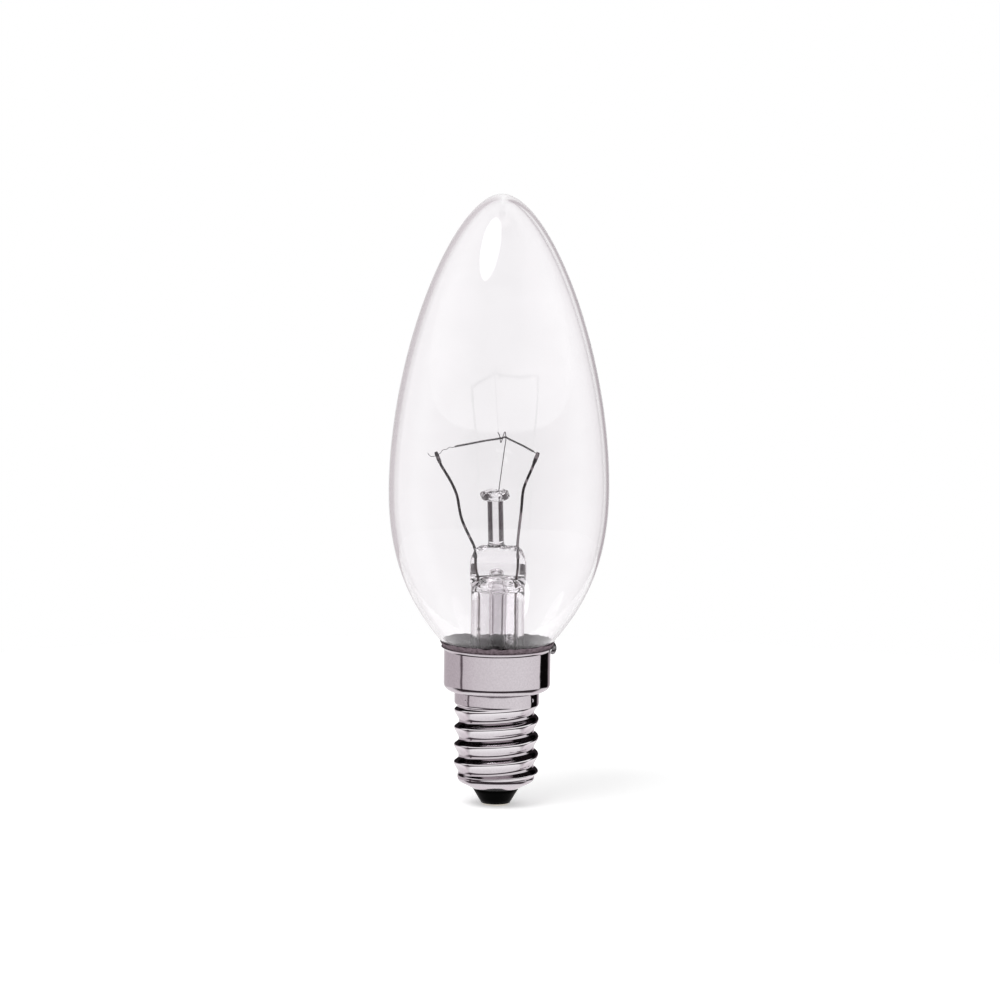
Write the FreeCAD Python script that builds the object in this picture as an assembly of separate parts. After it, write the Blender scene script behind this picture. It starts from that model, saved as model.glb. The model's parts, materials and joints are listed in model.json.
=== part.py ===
import FreeCAD, Part
import math
import os

# Candle lamp with a clear blown bulb and a small screw cap, in millimetres.
# The axis is +Z, the cap is at the bottom, and the origin is the lowest point of the
# centre contact. The leads stand left and right of the axis, along X.

# Glass bulb
overall_length = 97.6
bulb_diameter = 35.0
widest_height = 50.5
glass_wall = 0.7
tip_wall = 0.9
upper_fullness = 22.2
tip_fullness = 7.5
lower_fullness = 13.0
throat_height = 25.7
throat_radius = 8.5
throat_lean = 0.85
throat_fullness = 5.1
neck_radius = 7.2
neck_height = 22.4
neck_end_height = 19.9
neck_end_round = 0.3

# Screw cap shell
cap_wall = 0.3
collar_radius = 8.5
collar_bottom = 18.4
collar_round = 1.2
lip_height = 25.4
lip_flare = 0.4
lip_depth = 1.3
band_radius = 6.75
band_bottom = 16.5
thread_crest_radius = band_radius
thread_root_radius = 6.0
thread_pitch = 2.822
thread_bottom = 4.5
thread_left_crest = 12.35
thread_runout = 0.9
crest_sharpness = 1.5
crest_skew = 0.42
wall_overlap = 0.2
overlap_step = 0.02
end_radius = 6.15
end_round = 0.95
end_cone = 1.3
end_hole_radius = 3.7
end_height = 2.6
stake_size = 0.8
stake_depth = 0.12
stake_angle = 58.0
stake_height = 17.3
small_stake_size = 0.4
small_stake_angle = -46.4

# Insulator and centre contact
insulator_tip_radius = 2.3
insulator_tip_height = 0.25
insulator_top = 6.0
insulator_dish = 1.5
wire_hole_radius = 1.1
plate_hole_radius = 0.55
plate_radius = 2.0
plate_thickness = 0.4
centre_dome_radius = 1.1
centre_flat_radius = 0.45
centre_dome_fullness = 0.88

# Glass stem with its pinch, stacked on the height where the sealing wires start
seal_joint_height = 35.3
stem_radius = 4.25
stem_wall = 0.9
flare_height = 23.6
flare_thickness = 0.9
flare_bend = 0.6
flare_rise = 0.8
pinch_start_drop = 0.9
pinch_start = seal_joint_height - pinch_start_drop
pinch_rise = 1.6
pinch_height = seal_joint_height + pinch_rise
pinch_width = 8.9
pinch_thickness = 3.3
pinch_body = 2.2
pinch_shoulder = pinch_height + pinch_body
pinch_crown = 2.4
pinch_top = pinch_shoulder + pinch_crown
pinch_top_width = 6.9
pinch_top_thickness = 2.5
hollow_rise = 0.9
hollow_top = seal_joint_height + hollow_rise
hollow_shoulder = 1.2
hollow_rim = 0.4
arch_inset = 0.25
arch_width_share = 0.62
arch_depth_share = 0.2
arch_squareness = 2.2
arch_top_squareness = 2.4
pinch_squareness = 3.2
shoulder_squareness = 3.6
top_squareness = 3.0
stem_overlap = 0.4

# Exhaust tube
exhaust_radius = 1.35
exhaust_bore = 0.85
exhaust_rise = 2.7
exhaust_top = seal_joint_height + exhaust_rise
exhaust_bottom = 9.0
exhaust_tip_length = 2.97
exhaust_tip_wall = 1.25
exhaust_tip_share = 0.5
bore_tip_share = 0.4
bore_tip_rise = 0.5
bore_tip_length = 3.0
blow_hole_radius = 0.95
blow_hole_rise = 1.9
blow_hole_height = seal_joint_height + blow_hole_rise

# Support rod and its button
rod_radius = 1.25
rod_lean = 1.8
rod_foot_x = -0.36
rod_foot_radius = 1.9
rod_foot_fillet = 0.9
rod_foot_share = 0.6
rod_sink = 0.3
button_radius = 2.28
rod_length = 7.3
button_bottom = pinch_top + rod_length
button_thickness = 1.6
button_top = button_bottom + button_thickness
button_round = 0.7
button_edge = 0.3
button_face_share = 0.6

# Wires: the lead bends rise from the pinch top, the coil bends from the clamps
lead_height = 15.0
filament_height = pinch_top + lead_height
hook_wire_radius = 0.07
hook_depth = 1.0
hook_rise = 2.55
hook_top = filament_height + hook_rise
hook_x = 0.6
hook_offset = 0.45
hook_lean = 0.12
hook_straight = 0.6
hook_bend = 0.4
pigtail_radius = 0.42
pigtail_pitch = 0.5
pigtail_turns = 1.5
pigtail_phase = 0.12
coil_radius = 0.16
coil_sag = 0.22
coil_peak_shift = 0.3
left_leg_reach = 0.2
left_leg_drop = 0.45
right_leg_reach = 0.1
right_leg_drop = 0.3
leg_wire_radius = 0.06
lead_wire_radius = 0.2
clamp_radius = 0.33
clamp_length = 1.8
left_lead_kick = 0.25
right_lead_kick = 0.05
right_lead_rise = 0.3
right_clamp_rise = 0.1
seal_wire_radius = 0.17
tail_wire_radius = 0.15
fuse_wire_radius = 0.1
weld_bead_radius = 0.3
bead_shift = 0.05
bead_bite = 0.8
tail_length = 6.9
weld_bead_height = seal_joint_height - tail_length
seal_length = 4.3
lead_joint_height = seal_joint_height + seal_length
seal_bend_drop = 0.6
tail_lean = 0.1
tail_straight = 3.9
tail_bend_drop = 1.2
tail_bend_reach = 0.25
tail_foot_reach = 0.9
tail_turn_reach = 1.6
tail_turn_rise = 1.4
tail_crest_drop = 1.6
tail_end_reach = 0.75
tail_nudge = 0.05
fuse_start_drop = 2.8
left_seal_x = -3.4
right_seal_x = 3.0
left_tail_x = -2.95
right_tail_x = 2.75
left_clamp_x = -10.0
right_clamp_x = 6.1
left_lead_bends = [(-5.1, 2.8), (-6.3, 6.6), (-7.05, 9.4), (-8.4, 12.0)]
right_lead_bends = [(3.4, 4.7), (3.65, 8.4), (4.3, 10.7)]
coil_left_bends = [(-8.5, 0.6), (-7.05, 0.95), (-3.5, 1.75)]
coil_right_bends = [(3.25, 1.25), (5.2, 0.3)]
fuse_start_x = -2.75
fuse_bends = [(-2.7, 18.0), (-2.3, 12.5), (-0.7, 7.6), (0, 4.6)]

# Cement and solder
cement_top = 25.3
cement_bottom = 19.2
cement_slump = 0.8
solder_width = 0.62
solder_breadth = 0.713
solder_height = 1.0
solder_reach = 0.33
solder_drop = 0.2

AXIS = FreeCAD.Vector(0, 0, 1)
OVERRUN = 1.0


def point(x, z, y=0.0):
    """A point from its place across, its height and its depth."""
    return FreeCAD.Vector(x, y, z)


def line(start, end):
    return Part.LineSegment(start, end).toShape()


def curve(*poles):
    """A Bezier edge in the X-Z plane from (x, z) poles."""
    bezier = Part.BezierCurve()
    bezier.setPoles([point(x, z) for x, z in poles])
    return bezier.toShape()


def corner(before, at, after, radius):
    """A tangent arc of the given radius at a corner, with its two end points."""
    inward = (before - at).normalize()
    outward = (after - at).normalize()
    half = inward.getAngle(outward) / 2
    back = radius / math.tan(half)
    first = at + inward * back
    last = at + outward * back
    bisector = (inward + outward).normalize()
    middle = at + bisector * (radius / math.sin(half) - radius)
    return first, middle, last


def rounded_path(points, radii):
    """Edges of a path of straight runs joined by tangent arcs."""
    edges = []
    start = points[0]
    for index in range(1, len(points) - 1):
        before, at, after = points[index - 1:index + 2]
        first, middle, last = corner(before, at, after, radii[index - 1])
        edges.append(line(start, first))
        edges.append(Part.Arc(first, middle, last).toShape())
        start = last
    edges.append(line(start, points[-1]))
    return edges


def revolved(edges):
    """The solid that a closed outline in the X-Z plane turns about the axis."""
    face = Part.Face(Part.Wire(Part.__sortEdges__(edges)))
    return face.revolve(point(0, 0), AXIS, 360)


def turned(*corners):
    """A solid of revolution from (radius, height) corners."""
    points = [point(x, z) for x, z in corners]
    edges = [line(a, b) for a, b in zip(points, points[1:] + points[:1])]
    return revolved(edges)


def wire_through(points, radius, bend=0.42):
    """A round wire along straight runs, each corner bent as gently as its runs allow."""
    radii = []
    for before, at, after in zip(points, points[1:], points[2:]):
        shorter = min((at - before).Length, (after - at).Length)
        half_turn = (at - before).getAngle(after - at) / 2
        radii.append(bend * shorter / math.tan(half_turn))
    path = Part.Wire(rounded_path(points, radii))
    section = Part.Wire(Part.makeCircle(radius, points[0], points[1] - points[0]))
    return path.makePipeShell([section], True, False)


def tube_between(start, end, radius):
    return Part.makeCylinder(radius, (end - start).Length, start, end - start)


def oval_section(half_x, half_y, squareness, height):
    """A closed section between an ellipse (2) and a rounded rectangle (4 and more)."""
    count = 16
    points = []
    for step in range(count):
        angle = 2 * math.pi * step / count
        across = math.copysign(abs(math.cos(angle)) ** (2 / squareness), math.cos(angle))
        depth = math.copysign(abs(math.sin(angle)) ** (2 / squareness), math.sin(angle))
        points.append(point(half_x * across, height, half_y * depth))
    outline = Part.BSplineCurve()
    outline.interpolate(Points=points, PeriodicFlag=True)
    return Part.Wire(outline.toShape())


def bulb_skin(inset, top_inset):
    """The outline of the blown glass, drawn in by a wall, from the tip to the neck."""
    radius = bulb_diameter / 2 - inset
    top = overall_length - top_inset
    share = radius / (bulb_diameter / 2)
    crown = curve(
        (0, top),
        (tip_fullness * share, top),
        (radius, widest_height + upper_fullness - top_inset),
        (radius, widest_height),
    )
    throat = throat_radius - inset
    lean = throat_lean * throat_fullness
    belly = curve(
        (radius, widest_height),
        (radius, widest_height - lower_fullness),
        (throat + lean, throat_height + throat_fullness),
        (throat, throat_height),
    )
    neck = neck_radius - inset
    fall = throat_height - neck_height
    collar = curve(
        (throat, throat_height),
        (throat - throat_lean * fall / 3, throat_height - fall / 3),
        (neck, neck_height + fall / 2),
        (neck, neck_height),
    )
    return [crown, belly, collar]


def bulb_block():
    """The bulb as if it were solid glass, used to seat what touches its outside."""
    foot = point(neck_radius, neck_end_height)
    edges = bulb_skin(0, 0)
    edges.append(line(point(neck_radius, neck_height), foot))
    edges.append(line(foot, point(0, neck_end_height)))
    edges.append(line(point(0, neck_end_height), point(0, overall_length)))
    return revolved(edges)


def glass_bulb():
    """The blown bulb: one even wall, a little heavier at the tip, open at the neck."""
    inner_radius = neck_radius - glass_wall
    outer_foot = point(neck_radius, neck_end_height)
    inner_foot = point(inner_radius, neck_end_height)
    path = [point(neck_radius, neck_height), outer_foot, inner_foot, point(inner_radius, neck_height)]
    edges = bulb_skin(0, 0) + bulb_skin(glass_wall, tip_wall)
    edges += rounded_path(path, [neck_end_round, neck_end_round])
    edges.append(line(point(0, overall_length), point(0, overall_length - tip_wall)))
    return revolved(edges)


def thread_radius(turn, height):
    """Outer radius of the rolled cap wall at a share of a turn from +X and a height."""
    crest = thread_left_crest + (turn - 0.5) * thread_pitch
    angle = 2 * math.pi * (height - crest) / thread_pitch
    skewed = angle + crest_skew * (1 - math.cos(angle))
    wave = 0.5 + 0.5 * math.cos(skewed)
    depth = thread_crest_radius - thread_root_radius
    rolled = thread_root_radius + depth * wave ** crest_sharpness
    rise = max(0.0, 1 - (band_bottom - height) / thread_runout)
    fall = max(0.0, 1 - (height - thread_bottom) / thread_runout)
    rise = min(rise, 1.0)
    fall = min(fall, 1.0)
    rise = rise * rise * (3 - 2 * rise)
    fall = fall * fall * (3 - 2 * fall)
    plain = rise * band_radius + fall * end_radius
    return plain + (1 - rise - fall) * rolled


def threaded_block(inset):
    """The rolled stretch of the cap as a solid, its skin worked out from the thread's law."""
    around = 28
    rows_per_turn = 14
    bottom = thread_bottom - wall_overlap
    top = band_bottom + wall_overlap
    rows = int((top - bottom) / thread_pitch * rows_per_turn)
    grid = []
    for row in range(rows + 1):
        height = bottom + (top - bottom) * row / rows
        ring = []
        for step in range(around + 1):
            turn = step % around / around
            radius = thread_radius(turn, height) - inset - overlap_step
            angle = 2 * math.pi * turn
            ring.append(point(radius * math.cos(angle), height, radius * math.sin(angle)))
        grid.append(ring)
    skin = Part.BSplineSurface()
    skin.interpolate(grid)
    wall = skin.toShape()
    ends = [Part.Face(Part.Wire(edge)) for edge in wall.Edges if edge.BoundBox.ZLength < 1e-6]
    block = Part.Solid(Part.Shell([wall] + ends))
    block.fix(1e-6, 1e-6, 1e-6)
    return block


def collar_block(inset, top):
    """The plain upper part of the cap up to a height: lip, collar, shoulder and band."""
    radius = collar_radius - inset
    floor = collar_bottom + inset
    band = band_radius - inset
    lip = lip_height - lip_depth
    mouth = radius + lip_flare
    edges = rounded_path(
        [point(radius, lip), point(radius, floor), point(band, floor)],
        [collar_round - inset / 2],
    )
    edges.append(line(point(band, floor), point(band, band_bottom)))
    edges.append(line(point(band, band_bottom), point(0, band_bottom)))
    edges.append(line(point(0, band_bottom), point(0, top)))
    edges.append(line(point(0, top), point(mouth, top)))
    if top > lip_height:
        edges.append(line(point(mouth, top), point(mouth, lip_height)))
    edges.append(curve((mouth, lip_height), (radius, lip_height - lip_depth / 2), (radius, lip)))
    return revolved(edges)


def end_block(inset):
    """The closed-in lower end of the cap."""
    radius = end_radius - inset
    path = [
        point(radius, thread_bottom),
        point(radius, end_height + end_cone + inset),
        point(end_hole_radius, end_height + inset),
    ]
    edges = rounded_path(path, [end_round - inset])
    edges.append(line(point(end_hole_radius, end_height + inset), point(0, end_height + inset)))
    edges.append(line(point(0, end_height + inset), point(0, thread_bottom)))
    edges.append(line(point(0, thread_bottom), point(radius, thread_bottom)))
    return revolved(edges)


def stake_pocket(angle, size):
    """A shallow square punch mark in the band."""
    pocket = Part.makeBox(size, stake_depth * 2, size, point(-size / 2, stake_height - size / 2))
    pocket.translate(FreeCAD.Vector(0, -band_radius - stake_depth, 0))
    pocket.rotate(point(0, 0), AXIS, angle)
    return pocket


def cap_shell(hollow):
    """The drawn and rolled sheet cap, with its two punch marks."""
    outside = collar_block(0, lip_height).fuse([threaded_block(0), end_block(0)])
    hole = Part.makeCylinder(end_hole_radius, thread_bottom)
    marks = [stake_pocket(stake_angle, stake_size), stake_pocket(small_stake_angle, small_stake_size)]
    return outside.cut([hollow, hole] + marks)


def cap_hollow(top):
    """The air space inside the cap, from its closed-in end up to a height."""
    return collar_block(cap_wall, top).fuse([threaded_block(cap_wall), end_block(cap_wall)])


def cap_insulator(hollow):
    """The black glass moulded in the cap's end: a cone outside, a dish with a wire hole inside."""
    neck = end_height + cap_wall
    tip = turned(
        (0, insulator_tip_height),
        (insulator_tip_radius, insulator_tip_height),
        (end_hole_radius, end_height),
        (end_hole_radius, neck),
        (0, neck),
    )
    dish = turned(
        (0, insulator_top - insulator_dish),
        (wire_hole_radius, insulator_top - insulator_dish),
        (end_radius, insulator_top),
        (collar_radius + OVERRUN, insulator_top),
        (collar_radius + OVERRUN, overall_length),
        (0, overall_length),
    )
    hole = Part.makeCone(plate_hole_radius, wire_hole_radius, insulator_top)
    seat = Part.makeCylinder(plate_radius, plate_thickness, point(0, insulator_tip_height))
    return hollow.cut(dish).fuse(tip).cut([hole, seat])


def contact_plate():
    """The centre contact: a small brass disc with a hole for the wire."""
    disc = Part.makeCylinder(plate_radius, plate_thickness, point(0, insulator_tip_height))
    hole = Part.makeCylinder(plate_hole_radius, plate_thickness, point(0, insulator_tip_height))
    return disc.cut(hole)


def centre_solder():
    """The solder that fills the plate's hole and stands below it as a low dome."""
    top = insulator_tip_height + plate_thickness
    rise = insulator_tip_height
    edges = [
        line(point(0, 0), point(centre_flat_radius, 0)),
        curve((centre_flat_radius, 0), (centre_dome_fullness, 0), (centre_dome_radius, rise)),
        line(point(centre_dome_radius, rise), point(plate_hole_radius, rise)),
        line(point(plate_hole_radius, rise), point(plate_hole_radius, top)),
        line(point(plate_hole_radius, top), point(0, top)),
        line(point(0, top), point(0, 0)),
    ]
    return revolved(edges)


def stem_block():
    """The flared tube and its pinched head as solid glass."""
    rim = neck_radius - glass_wall
    floor = neck_end_height
    joint = pinch_start + stem_overlap
    edges = [
        line(point(0, floor), point(rim, floor)),
        line(point(rim, floor), point(rim, floor + flare_thickness)),
        curve(
            (rim, floor + flare_thickness),
            (stem_radius + flare_bend, floor + flare_thickness),
            (stem_radius, flare_height - flare_rise),
            (stem_radius, flare_height),
        ),
        line(point(stem_radius, flare_height), point(stem_radius, joint)),
        line(point(stem_radius, joint), point(0, joint)),
        line(point(0, joint), point(0, floor)),
    ]
    tube = revolved(edges)
    start = stem_radius - overlap_step
    sections = [
        oval_section(start, start, 2, pinch_start),
        oval_section(pinch_width / 2, pinch_thickness / 2, pinch_squareness, pinch_height),
        oval_section(pinch_width / 2, pinch_thickness / 2, shoulder_squareness, pinch_shoulder),
        oval_section(pinch_top_width / 2, pinch_top_thickness / 2, top_squareness, pinch_top),
    ]
    head = Part.makeLoft(sections, True, False)
    return tube.fuse(head)


def stem_hollow():
    """The air space in the flared tube, with its arched top."""
    bore = stem_radius - stem_wall
    rim = neck_radius - glass_wall
    floor = neck_end_height
    low = pinch_start - hollow_shoulder
    joint = low + stem_overlap
    arch = (low + hollow_top) / 2 + wall_overlap
    edges = [
        line(point(0, floor), point(rim - hollow_rim, floor)),
        curve(
            (rim - hollow_rim, floor),
            (bore + hollow_rim, floor),
            (bore, flare_height - hollow_shoulder),
            (bore, flare_height),
        ),
        line(point(bore, flare_height), point(bore, joint)),
        line(point(bore, joint), point(0, joint)),
        line(point(0, joint), point(0, floor)),
    ]
    tube = revolved(edges)
    sections = [
        oval_section(bore - overlap_step, bore - overlap_step, 2, low),
        oval_section(bore - arch_inset, bore * arch_width_share, arch_squareness, arch),
        oval_section(bore * arch_width_share, bore * arch_depth_share, arch_top_squareness, hollow_top),
    ]
    return tube.fuse(Part.makeLoft(sections, True, False))


def blow_hole():
    """The hole blown through the front of the pinch into the exhaust tube."""
    start = FreeCAD.Vector(0, 0, blow_hole_height)
    return Part.makeCylinder(blow_hole_radius, pinch_thickness, start, FreeCAD.Vector(0, -1, 0))


def exhaust_block():
    """The exhaust tube as if it were solid, with its tipped-off lower end."""
    straight = exhaust_bottom + exhaust_tip_length
    return revolved([
        curve(
            (0, exhaust_bottom),
            (exhaust_radius * exhaust_tip_share, exhaust_bottom),
            (exhaust_radius, exhaust_bottom + exhaust_radius),
            (exhaust_radius, straight),
        ),
        line(point(exhaust_radius, straight), point(exhaust_radius, exhaust_top)),
        line(point(exhaust_radius, exhaust_top), point(0, exhaust_top)),
        line(point(0, exhaust_top), point(0, exhaust_bottom)),
    ])


def exhaust_tube():
    """The tube that emptied the bulb, sealed off inside the cap."""
    wall = exhaust_radius - exhaust_bore
    low = exhaust_bottom + exhaust_tip_wall
    bore = turned(
        (0, low),
        (exhaust_bore * bore_tip_share, low + exhaust_bore * bore_tip_rise),
        (exhaust_bore, low + exhaust_bore * bore_tip_length),
        (exhaust_bore, exhaust_top - wall),
        (0, exhaust_top - wall / 2),
    )
    return exhaust_block().cut([bore, blow_hole()])


def support_rod():
    """The solid glass rod with its button, leaning a little to the left."""
    foot = pinch_top - rod_sink
    length = button_top - foot
    under = button_bottom - foot
    edge = length - button_round
    face = button_radius * button_face_share
    edges = [
        line(point(0, 0), point(rod_foot_radius, 0)),
        curve(
            (rod_foot_radius, 0),
            (rod_foot_radius, rod_sink),
            (rod_radius, rod_foot_fillet * rod_foot_share),
            (rod_radius, rod_foot_fillet),
        ),
        line(point(rod_radius, rod_foot_fillet), point(rod_radius, under)),
        curve(
            (rod_radius, under),
            (button_radius - button_edge, under),
            (button_radius, under + button_edge),
            (button_radius, edge),
        ),
        curve((button_radius, edge), (button_radius, length), (face, length)),
        line(point(face, length), point(0, length)),
        line(point(0, length), point(0, 0)),
    ]
    rod = revolved(edges)
    rod.rotate(point(0, 0), FreeCAD.Vector(0, 1, 0), -rod_lean)
    rod.translate(point(rod_foot_x, foot))
    return rod


def rod_axis(height):
    """The leaning rod's axis at a height."""
    rise = height - (pinch_top - rod_sink)
    return point(rod_foot_x - rise * math.tan(math.radians(rod_lean)), height)


def support_hook():
    """The fine support wire, from the button to a pigtail round the filament."""
    foot = rod_axis(button_top - hook_depth) + point(hook_offset, 0)
    centre = point(hook_x, hook_top)
    path = [foot, foot + point(hook_lean, hook_depth + hook_straight)]
    steps_per_turn = 5
    steps = int(pigtail_turns * steps_per_turn)
    advance = pigtail_pitch * pigtail_turns / steps
    for step in range(steps + 1):
        angle = 2 * math.pi * (step / steps_per_turn - pigtail_phase)
        rise = pigtail_radius * math.sin(angle)
        depth = -pigtail_radius * math.cos(angle)
        path.append(centre + point(advance * (step - steps / 2), rise, depth))
    return wire_through(path, hook_wire_radius, hook_bend)


def left_lead_path():
    """The left nickel lead, bowed outwards from the pinch to its clamped tip."""
    start = [point(left_seal_x, lead_joint_height), point(left_seal_x - left_lead_kick, pinch_top)]
    bends = [point(x, pinch_top + rise) for x, rise in left_lead_bends]
    return start + bends + [point(left_clamp_x, filament_height)]


def right_lead_path():
    """The right nickel lead, nearly upright, then bent outwards to its clamped tip."""
    kick = point(right_seal_x + right_lead_kick, pinch_top + right_lead_rise)
    start = [point(right_seal_x, lead_joint_height), kick]
    bends = [point(x, pinch_top + rise) for x, rise in right_lead_bends]
    return start + bends + [point(right_clamp_x, filament_height + right_clamp_rise)]


def clamped_lead(path):
    """A lead along its path, with the folded tip that grips the filament's leg."""
    wire = wire_through(path, lead_wire_radius)
    back = (path[-2] - path[-1]).normalize() * clamp_length
    tip = path[-1]
    clamp = tube_between(tip + back, tip, clamp_radius)
    return wire.fuse(clamp)


def filament_path():
    """The coil's centre line from the left clamp over the support to the right clamp."""
    start = point(left_clamp_x - left_leg_reach, filament_height - left_leg_drop)
    left = [point(x, filament_height + rise) for x, rise in coil_left_bends]
    peak = point(hook_x - coil_peak_shift, hook_top + coil_sag)
    right = [point(x, filament_height + rise) for x, rise in coil_right_bends]
    end = point(right_clamp_x - right_leg_reach, filament_height - right_leg_drop)
    return [start] + left + [peak] + right + [end]


def filament():
    """The coiled tungsten wire as its outer shape, with a bare leg into each clamp."""
    path = filament_path()
    coil = wire_through(path[2:-1], coil_radius)
    left = wire_through(path[:3], leg_wire_radius)
    right = tube_between(path[-2], path[-1], leg_wire_radius)
    return coil.fuse([left, right])


def seal_wires():
    """The two sealing wires through the pinch."""
    ends = [(left_seal_x, left_tail_x), (right_seal_x, right_tail_x)]
    return [
        wire_through(
            [
                point(high, lead_joint_height),
                point(high, (lead_joint_height + pinch_height) / 2),
                point(low, pinch_height - seal_bend_drop),
                point(low, seal_joint_height),
            ],
            seal_wire_radius,
        )
        for high, low in ends
    ]


def tail_wire_left():
    """The left copper tail, from the pinch to the weld above the fuse."""
    return tube_between(
        point(left_tail_x, seal_joint_height),
        point(left_tail_x - bead_shift, weld_bead_height + weld_bead_radius * bead_bite),
        tail_wire_radius,
    )


def weld_bead():
    """The weld knot that joins the left tail to the thin fuse wire."""
    return Part.makeSphere(weld_bead_radius, point(left_tail_x - bead_shift, weld_bead_height))


def fuse_path():
    """The fuse wire's route, down beside the exhaust tube to the centre contact."""
    start = point(left_tail_x - bead_shift, weld_bead_height - weld_bead_radius * bead_bite)
    first = point(fuse_start_x, weld_bead_height - fuse_start_drop)
    bends = [point(x, z) for x, z in fuse_bends]
    return [start, first] + bends + [point(0, insulator_tip_height + plate_thickness)]


def side_path():
    """The right tail's route: down the stem, round the neck and up over the lip."""
    under = (neck_end_height + collar_bottom + cap_wall) / 2
    gap = (neck_radius + collar_radius - cap_wall) / 2
    over = lip_height + tail_wire_radius
    return [
        point(right_tail_x, seal_joint_height),
        point(right_tail_x + tail_lean, flare_height + tail_straight),
        point(right_tail_x + tail_bend_reach, flare_height - tail_bend_drop),
        point(right_tail_x + tail_foot_reach, under + tail_bend_reach),
        point(gap - tail_turn_reach, under),
        point(gap, under + tail_turn_rise),
        point(gap + tail_nudge, lip_height - tail_crest_drop),
        point(collar_radius - tail_nudge, over),
        point(collar_radius + tail_end_reach, over),
    ]


def base_cement(bulb, wires):
    """The ring of cement between the glass neck and the collar."""
    radius = collar_radius - cap_wall
    ring = turned(
        (neck_radius, cement_bottom),
        (radius - cement_slump, cement_bottom),
        (radius, cement_bottom + cement_slump),
        (radius + OVERRUN, cement_top),
        (neck_radius, cement_top),
    )
    return ring.common(collar_block(cap_wall, lip_height)).cut([bulb] + wires)


def side_solder(neighbours):
    """The drop of solder that joins the side wire to the collar's lip."""
    drop = Part.makeSphere(1)
    shape = FreeCAD.Matrix()
    shape.scale(solder_width, solder_breadth, solder_height)
    drop = drop.transformGeometry(shape)
    drop.translate(point(collar_radius + solder_reach, lip_height - solder_drop))
    return drop.cut(neighbours)


def build():
    """Every piece of the lamp by its name."""
    bulb = bulb_block()
    hollow = cap_hollow(lip_height + OVERRUN)
    shell = cap_shell(hollow)
    rod = support_rod()
    hook = support_hook()
    leads = [clamped_lead(left_lead_path()), clamped_lead(right_lead_path())]
    coil = filament()
    seals = seal_wires()
    left_tail = tail_wire_left()
    right_tail = wire_through(side_path(), tail_wire_radius)
    fuse = wire_through(fuse_path(), fuse_wire_radius)
    bead = weld_bead()
    fused = [exhaust_block(), rod, left_tail, right_tail] + leads + seals
    stem = stem_block().cut([stem_hollow(), blow_hole()] + fused)
    cement = base_cement(bulb, [right_tail])
    return {
        "glass_bulb": glass_bulb(),
        "stem_tube": stem,
        "exhaust_tube": exhaust_tube(),
        "support_rod": rod.cut(hook),
        "support_hook": hook,
        "filament": coil,
        "lead_wire_left": leads[0].cut([coil, seals[0]]),
        "lead_wire_right": leads[1].cut([coil, seals[1]]),
        "seal_wire_left": seals[0],
        "seal_wire_right": seals[1],
        "tail_wire_left": left_tail.cut([bead, seals[0]]),
        "tail_wire_right": right_tail.cut(seals[1]),
        "weld_bead": bead,
        "fuse_wire": fuse.cut(bead),
        "base_cement": cement,
        "cap_shell": shell.cut(right_tail),
        "cap_insulator": cap_insulator(hollow).cut(fuse),
        "contact_plate": contact_plate(),
        "centre_solder": centre_solder(),
        "side_solder": side_solder([shell, bulb, cement, right_tail]),
    }


os.makedirs("parts", exist_ok=True)
for name, shape in build().items():
    shape.exportStep(f"parts/{name}.step")
    print(name, len(shape.Solids), "solid", round(shape.Volume, 3), "mm3")
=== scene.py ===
# %% [markdown]
# A clear candle bulb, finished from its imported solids. The solids hold the sizes and the
# places. This script gives each piece a smooth mesh and the finish of the real material.
# %% Load the frame
import bmesh
import bpy
import json
import math
from functools import partial
from mathutils import Matrix, Vector, noise


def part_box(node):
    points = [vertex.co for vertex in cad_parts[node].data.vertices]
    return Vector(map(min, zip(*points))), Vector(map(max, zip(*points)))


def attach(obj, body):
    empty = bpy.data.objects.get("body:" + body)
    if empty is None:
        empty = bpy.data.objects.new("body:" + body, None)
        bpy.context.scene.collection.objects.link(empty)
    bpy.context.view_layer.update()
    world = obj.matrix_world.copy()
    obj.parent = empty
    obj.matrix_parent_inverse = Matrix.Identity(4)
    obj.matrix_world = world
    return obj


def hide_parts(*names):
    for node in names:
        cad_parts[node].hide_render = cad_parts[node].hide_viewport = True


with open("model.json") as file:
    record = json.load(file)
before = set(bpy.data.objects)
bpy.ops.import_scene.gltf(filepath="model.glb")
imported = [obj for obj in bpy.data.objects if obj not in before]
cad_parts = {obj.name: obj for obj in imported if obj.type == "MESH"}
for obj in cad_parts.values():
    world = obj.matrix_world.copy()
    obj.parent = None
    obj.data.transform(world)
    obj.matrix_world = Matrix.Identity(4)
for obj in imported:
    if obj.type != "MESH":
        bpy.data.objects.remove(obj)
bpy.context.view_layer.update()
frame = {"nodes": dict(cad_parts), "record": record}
MM = 0.001
scene = bpy.context.scene

# %% [markdown]
# Colours are written as they look on a screen and turned into light values by one function.
# A second function adds a node with its settings, values and links, and a third adds a step of
# arithmetic, so that each finish and each node tree below reads as a short recipe.
# %% Helpers for finishes
def linear(code):
    """A linear colour from an sRGB hex value."""
    channels = [int(code[i:i + 2], 16) / 255 for i in (0, 2, 4)]
    return [c / 12.92 if c <= 0.04045 else ((c + 0.055) / 1.055) ** 2.4 for c in channels] + [1.0]


def add_node(tree, kind, settings=None, inputs=None, links=None):
    """Adds one node with its settings, its input values and the links into it."""
    made = tree.nodes.new(kind)
    for name, value in (settings or {}).items():
        setattr(made, name, value)
    for key, value in (inputs or {}).items():
        made.inputs[key].default_value = value
    for key, socket in (links or {}).items():
        tree.links.new(socket, made.inputs[key])
    return made


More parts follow.
